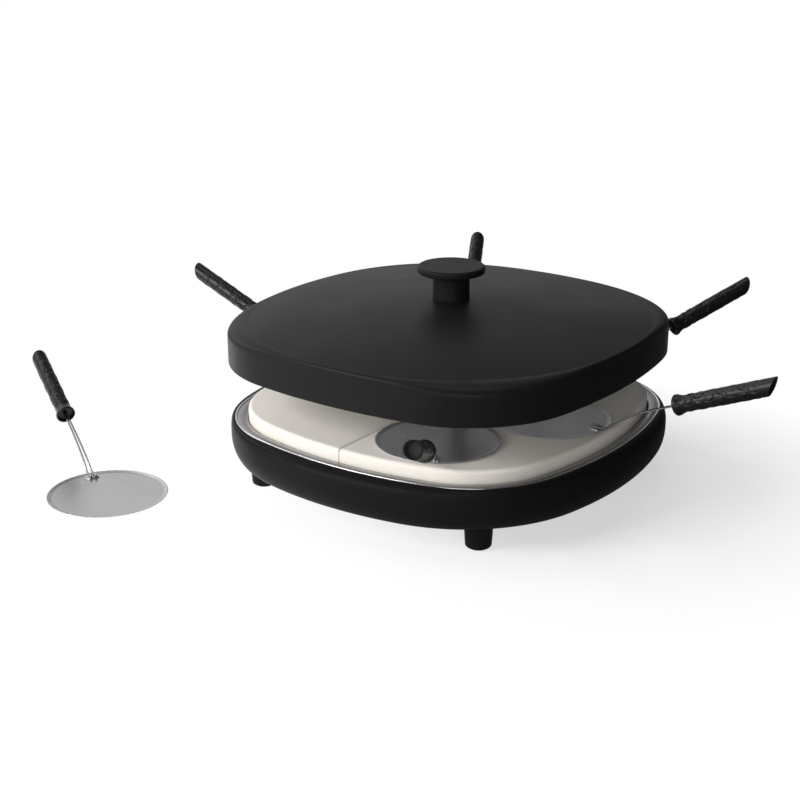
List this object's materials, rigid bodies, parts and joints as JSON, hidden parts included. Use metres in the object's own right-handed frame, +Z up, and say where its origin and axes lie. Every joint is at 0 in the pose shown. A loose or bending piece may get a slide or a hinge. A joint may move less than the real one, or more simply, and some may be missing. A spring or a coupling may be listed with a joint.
{
  "type": "countertop pizza maker",
  "caption": "Rounded-square table-top pizza oven: a low heated base with a split stone, a lift-off lid held up on a central column, and long-handled round spatulas.",
  "frame": {"origin": "on the table plane below the column's axis, midway between the four feet", "axes": "+X to the right along the front, +Y to the back where the cord enters, +Z up"},
  "size_m": [0.756, 0.6091, 0.209],
  "materials": {
    "black_coating": "satin black heat-proof coating",
    "black_housing": "satin black moulding",
    "black_knob": "satin black moulding",
    "rocker_black": "gloss black",
    "black_rubber": "matt",
    "bright_edge": "bright chrome",
    "tray_steel": "satin grey steel",
    "cream_stone": null,
    "reflector_aluminium": "bright aluminised sheet",
    "element_sheath": "dark heat-stained steel sheath",
    "plain_steel": "plain steel",
    "white_ceramic": null,
    "lead_sleeve": "pale heat-proof sleeve",
    "plate_steel": "polished steel sheet",
    "wire_steel": "bright plated wire",
    "black_grip": "black moulded relief"
  },
  "bodies": {
    "base": {"housing": "black_housing", "rim_frame": "black_housing", "bottom_cover": "plain_steel", "cover_screws": "plain_steel", "foot_front_left": "black_housing", "foot_front_right": "black_housing", "foot_back_left": "black_housing", "foot_back_right": "black_housing", "foot_pads": "black_rubber", "foot_screws": "plain_steel", "pan_standoffs": "plain_steel", "pan_screws": "plain_steel", "edge_bead": "bright_edge", "stone_tray": "tray_steel", "lower_reflector": "reflector_aluminium", "lower_heating_element": "element_sheath", "lower_element_clips": "plain_steel", "stone_support": "plain_steel", "stone_left": "cream_stone", "stone_right": "cream_stone", "column_tube": "plain_steel", "column_flange": "plain_steel", "column_nut": "plain_steel", "column_collar": "plain_steel", "upper_reflector": "reflector_aluminium", "upper_heating_element": "element_sheath", "upper_element_clips": "plain_steel", "lid_carrier": "plain_steel", "switch_housing": "black_housing", "cord_gland": "black_housing", "terminal_block": "white_ceramic", "thermostat": "plain_steel", "wiring": "lead_sleeve"},
    "switch": {"switch_rocker": "rocker_black"},
    "lid": {"lid_shell": "black_coating", "lid_liner": "reflector_aluminium", "liner_skirt": "reflector_aluminium", "lid_spacer": "white_ceramic", "knob_stem": "black_knob", "knob_disc": "black_knob", "knob_screw": "plain_steel", "knob_washer": "plain_steel"},
    "spatula_1": {"spatula_1_plate": "plate_steel", "spatula_1_wire": "wire_steel", "spatula_1_grip": "black_grip"},
    "spatula_2": {"spatula_2_plate": "plate_steel", "spatula_2_wire": "wire_steel", "spatula_2_grip": "black_grip"},
    "spatula_3": {"spatula_3_plate": "plate_steel", "spatula_3_wire": "wire_steel", "spatula_3_grip": "black_grip"},
    "spatula_4": {"spatula_4_plate": "plate_steel", "spatula_4_wire": "wire_steel", "spatula_4_grip": "black_grip"},
    "spatula_5": {"spatula_5_plate": "plate_steel", "spatula_5_wire": "wire_steel", "spatula_5_grip": "black_grip"},
    "spatula_6": {"spatula_6_plate": "plate_steel", "spatula_6_wire": "wire_steel", "spatula_6_grip": "black_grip"}
  },
  "joints": [
    {"name": "lid_lift", "type": "slide", "parent": "base", "child": "lid", "axis": [0, 0, 1], "range_m": [0, 0.25]},
    {"name": "switch_rock", "type": "hinge", "parent": "base", "child": "switch", "pos_m": [0, 0.1986, 0.045], "axis": [0, 0, 1], "range_deg": [0, 18]},
    {"name": "spatula_1_slide", "type": "slide", "parent": "base", "child": "spatula_1", "axis": [0.4848, -0.8746, 0], "range_m": [0, 0.25]},
    {"name": "spatula_2_slide", "type": "slide", "parent": "base", "child": "spatula_2", "axis": [1, 0, 0], "range_m": [0, 0.25]},
    {"name": "spatula_3_slide", "type": "slide", "parent": "base", "child": "spatula_3", "axis": [0.5225, 0.8526, 0], "range_m": [0, 0.25]},
    {"name": "spatula_4_slide", "type": "slide", "parent": "base", "child": "spatula_4", "axis": [-0.4772, 0.8788, 0], "range_m": [0, 0.25]},
    {"name": "spatula_5_slide", "type": "slide", "parent": "base", "child": "spatula_5", "axis": [-1, 0, 0], "range_m": [0, 0.25]},
    {"name": "spatula_6_lift", "type": "slide", "parent": "base", "child": "spatula_6", "axis": [0, 0, 1], "range_m": [0, 0.15]}
  ]
}
